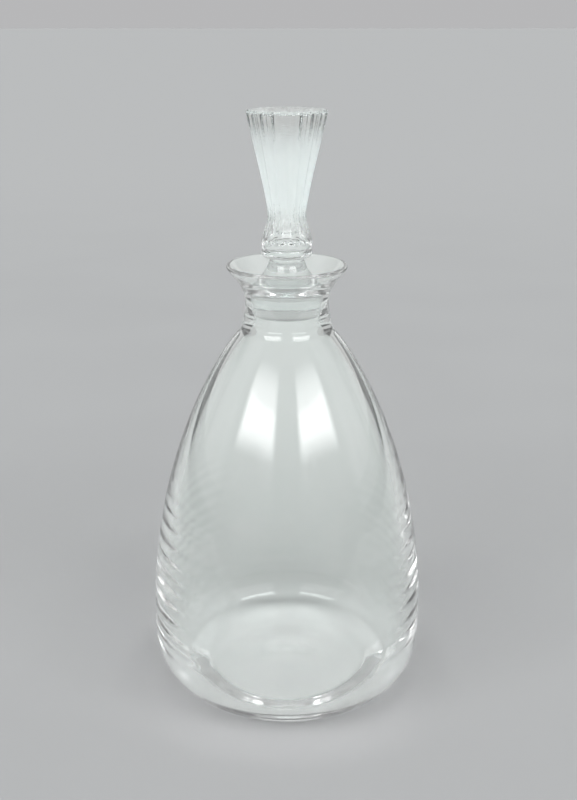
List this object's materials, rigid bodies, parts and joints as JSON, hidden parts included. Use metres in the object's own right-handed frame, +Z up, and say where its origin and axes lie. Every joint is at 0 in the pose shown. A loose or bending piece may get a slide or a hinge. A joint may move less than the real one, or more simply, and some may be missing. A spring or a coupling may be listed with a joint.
{
  "type": "stoppered decanter",
  "caption": "Bell-shaped clear glass decanter with a short neck and a flared lip, closed by a solid lift-out stopper with a fluted satin finial.",
  "frame": {"origin": "middle of the foot, on the surface that the decanter stands on", "axes": "+Z up along the axis of the bottle and the stopper; the object is round, so +X and +Y are free"},
  "size_m": [0.1252, 0.1252, 0.272],
  "materials": {
    "clear_glass": "fire-polished, clear with a faint cool green cast",
    "satin_glass": "clear pressed glass, satin-frosted over the middle of the flutes"
  },
  "bodies": {
    "bottle": {"bottle": "clear_glass"},
    "stopper": {"stopper": "satin_glass"}
  },
  "joints": [
    {"name": "stopper_lift", "type": "slide", "parent": "bottle", "child": "stopper", "axis": [0, 0, 1], "range_m": [0, 0.08]}
  ]
}
